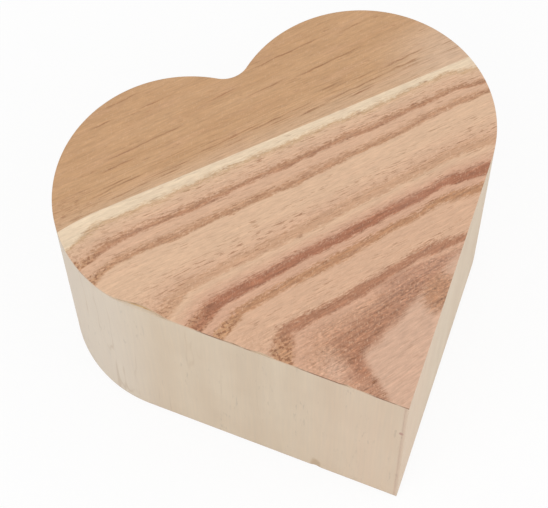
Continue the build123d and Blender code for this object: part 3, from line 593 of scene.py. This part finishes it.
def board_wood():
    """Birch plywood: pale face with short flecks along x, three plies at its edge."""
    f = new_finish("board_wood")
    x, y, z = f.place()
    cloud = f.noise(x / 22, y / 5, z, detail=4)
    fibre = f.noise(x / 5, y / 0.25, z / 0.25, seed=2)
    fleck = f.noise(x / 1.6, y / 0.2, z, detail=1, seed=31).step(0.14, 0.26)
    wood = f.mix(paint(214, 186, 148), paint(232, 210, 176), 0.5 + 1.7 * cloud)
    ply = z.hump(15.5, 0.55) * z.step(14.05, 14.2) * z.step(16.95, 16.8)
    wood = f.mix(wood, paint(176, 138, 98), 0.7 * ply)
    wood = f.shade(wood, 1 + 0.1 * fibre - 0.16 * fleck)
    return f.done(wood, 0.6 + 0.2 * fibre, relief=0.5 + fibre - fleck, depth=0.015)


def metal(name, colour, roughness, along, tarnish, dull):
    """Plated or bare metal: fine marks drawn out along one axis (0 to 2), clouds of tarnish, specks.

    The tarnish shows by how dull the metal is, and makes it rougher.
    """
    f = new_finish(name)
    place = f.place()
    drawn = [at / (9.0 if k == along else 0.12) for k, at in enumerate(place)]
    mark = f.noise(*drawn, detail=3)
    cloud = f.noise(*[at / 2.6 for at in place], detail=3, seed=14)
    speck = f.noise(*[at / 0.25 for at in place], detail=1, seed=27).step(0.2, 0.34)
    tone = f.mix(colour, tarnish, (0.3 + 1.5 * cloud) * dull)
    tone = f.shade(tone, 1 + 0.14 * mark - 0.15 * speck)
    return f.done(tone, roughness + 0.22 * mark + 0.3 * dull * cloud + 0.1 * speck, metallic=1.0,
                  relief=0.5 + mark, depth=0.003)


def cast_plate():
    """Die-cast zinc plate: grainy skin with flow clouds."""
    f = new_finish("cast_plate")
    x, y, z = f.place()
    skin = f.noise(x / 0.35, y / 0.35, z / 0.35, detail=3)
    flow = f.noise(x / 8, y / 4, z / 6, detail=3, seed=7)
    tone = f.mix(paint(186, 184, 178), paint(212, 211, 207), 0.5 + 1.6 * flow)
    tone = f.shade(tone, 1 + 0.12 * skin)
    return f.done(tone, 0.42 + 0.3 * skin, metallic=0.95, relief=0.5 + skin, depth=0.02)


def lead():
    """Dull lead drops: soft skin, oxide clouds."""
    f = new_finish("lead")
    x, y, z = f.place()
    cloud = f.noise(x / 1.2, y / 1.2, z / 1.2, detail=4)
    tone = f.mix(paint(112, 113, 117), paint(150, 151, 155), 0.5 + 1.8 * cloud)
    return f.done(tone, 0.58 + 0.3 * cloud, metallic=0.8, relief=0.5 + cloud, depth=0.04)


def pale_nylon():
    """Moulded nylon: ivory, satin, faint flow lines and a little oil."""
    f = new_finish("pale_nylon")
    x, y, z = f.place()
    flow = f.noise(x / 3, y / 3, z / 3, detail=3)
    grit = f.noise(x / 0.2, y / 0.2, z / 0.2, seed=5)
    oil = f.noise(x / 4, y / 4, z / 4, seed=19).step(0.05, 0.25)
    tone = f.mix(paint(226, 221, 204), paint(240, 236, 222), 0.5 + 1.5 * flow)
    tone = f.mix(tone, paint(205, 190, 150), 0.35 * oil)
    return f.done(tone, 0.46 - 0.16 * oil + 0.12 * grit, relief=0.5 + 0.4 * grit + 0.5 * flow, depth=0.01)


# Colour, roughness, axis of the marks, colour of the tarnish, and how dull it is
METALS = {
    "screw_steel": (paint(206, 206, 202), 0.3, 1, paint(176, 172, 152), 0.6),
    "spring_steel": (paint(150, 156, 172), 0.3, 2, paint(96, 100, 124), 0.8),
    "comb_steel": (paint(196, 198, 202), 0.24, 1, paint(160, 158, 152), 0.4),
    "bracket_steel": (paint(204, 202, 196), 0.34, 2, paint(172, 166, 150), 0.5),
    "key_steel": (paint(216, 212, 202), 0.2, 2, paint(182, 172, 148), 0.5),
    "arbor_steel": (paint(204, 204, 206), 0.22, 0, paint(170, 168, 160), 0.4),
    "cylinder_brass": (paint(222, 190, 118), 0.26, 0, paint(176, 134, 74), 0.5),
}
OTHERS = striped_wood, side_wood, block_wood, board_wood, cast_plate, lead, pale_nylon
FINISHES = {name: metal(name, *look) for name, look in METALS.items()}
FINISHES.update({make.__name__: make() for make in OTHERS})
for row in frame["record"]["subparts"]:
    for slot in frame["nodes"][row["node"]].material_slots:
        slot.material = FINISHES[row["material_slot"]]

striped_top()
side_strip()
butterfly_key()


# Floor, light and camera

def white_for_camera(f, lit, share):
    """Mixes plain white into what the camera, gloss and glass see, and leaves the light as it is."""
    seen_by = "Is Camera Ray", "Is Glossy Ray", "Is Transmission Ray"
    camera_ray, gloss_ray, glass_ray = (f.node("ShaderNodeLightPath", out=name) for name in seen_by)
    seen = (camera_ray + gloss_ray + glass_ray).math("MINIMUM", 1) * share
    white = f.node("ShaderNodeEmission", None, {0: (1, 1, 1, 1), 1: 1.0})
    return f.node("ShaderNodeMixShader", None, {0: seen, 1: lit, 2: white})


def pale_floor(reach=4.0, white=0.88):
    """Square floor that reaches so many metres from the middle, nearly white to the camera."""
    f = new_finish("pale_floor")
    matt = f.node("ShaderNodeBsdfDiffuse", None, {0: (0.95, 0.95, 0.95, 1)})
    f.node("ShaderNodeOutputMaterial", None, {0: white_for_camera(f, matt, white)})
    mesh = bpy.data.meshes.new("floor")
    corners = np.array([(-1, -1, 0), (1, -1, 0), (1, 1, 0), (-1, 1, 0)]) * reach
    mesh.from_pydata(corners.tolist(), [], [(0, 1, 2, 3)])
    floor = bpy.data.objects.new("floor", mesh)
    floor.data.materials.append(f.owner)
    bpy.context.scene.collection.objects.link(floor)


def studio_sky(strength=0.72):
    """World of even soft light, white to the camera."""
    f = Finish(bpy.data.worlds.new("studio"))
    soft = f.node("ShaderNodeBackground", None, {0: (1, 1, 1, 1), 1: strength})
    f.node("ShaderNodeOutputWorld", None, {0: white_for_camera(f, soft, 1.0)})
    bpy.context.scene.world = f.owner


def turned(place, target, roll=0.0):
    """Matrix of a lamp or camera at place that looks at target, rolled about its view."""
    back = np.subtract(place, target)
    back = back / np.linalg.norm(back)
    right = np.cross([0, 0, 1], back)
    right = right / np.linalg.norm(right)
    up = np.cross(back, right)
    c, s = np.cos(roll), np.sin(roll)
    world = np.eye(4)
    world[:3, :3] = np.stack([c * right + s * up, c * up - s * right, back], -1)
    world[:3, 3] = place
    return Matrix(world.tolist())


def soft_lamp(name, place, size, power, target=(0, 0, 0.03)):
    """Square lamp at a place in metres that looks at a target in the box."""
    lamp = bpy.data.lights.new(name, "AREA")
    lamp.size, lamp.energy = size, power
    stand = bpy.data.objects.new(name, lamp)
    stand.matrix_world = turned(place, target)
    bpy.context.scene.collection.objects.link(stand)


def photo_camera():
    """Camera at the photograph's viewing angle, its place and target in millimetres."""
    camera = bpy.data.cameras.new("camera")
    camera.sensor_fit, camera.sensor_width, camera.lens = "HORIZONTAL", 36.0, 122.74
    camera.clip_start, camera.clip_end = 0.01, 20.0
    eye = bpy.data.objects.new("camera", camera)
    place, target, roll = np.array([-78.957, -162.240, 394.581]), np.array([-4.785, 8.532, 26.0]), -1.19
    eye.matrix_world = turned(place * MM, target * MM, np.radians(roll))
    bpy.context.scene.collection.objects.link(eye)
    bpy.context.scene.camera = eye


pale_floor()
studio_sky()
soft_lamp("key_lamp", (-0.55, -0.35, 0.75), 0.7, 2.4)
soft_lamp("fill_lamp", (0.7, -0.5, 0.5), 0.7, 2.0)
photo_camera()

bpy.context.scene.view_settings.view_transform = "Standard"
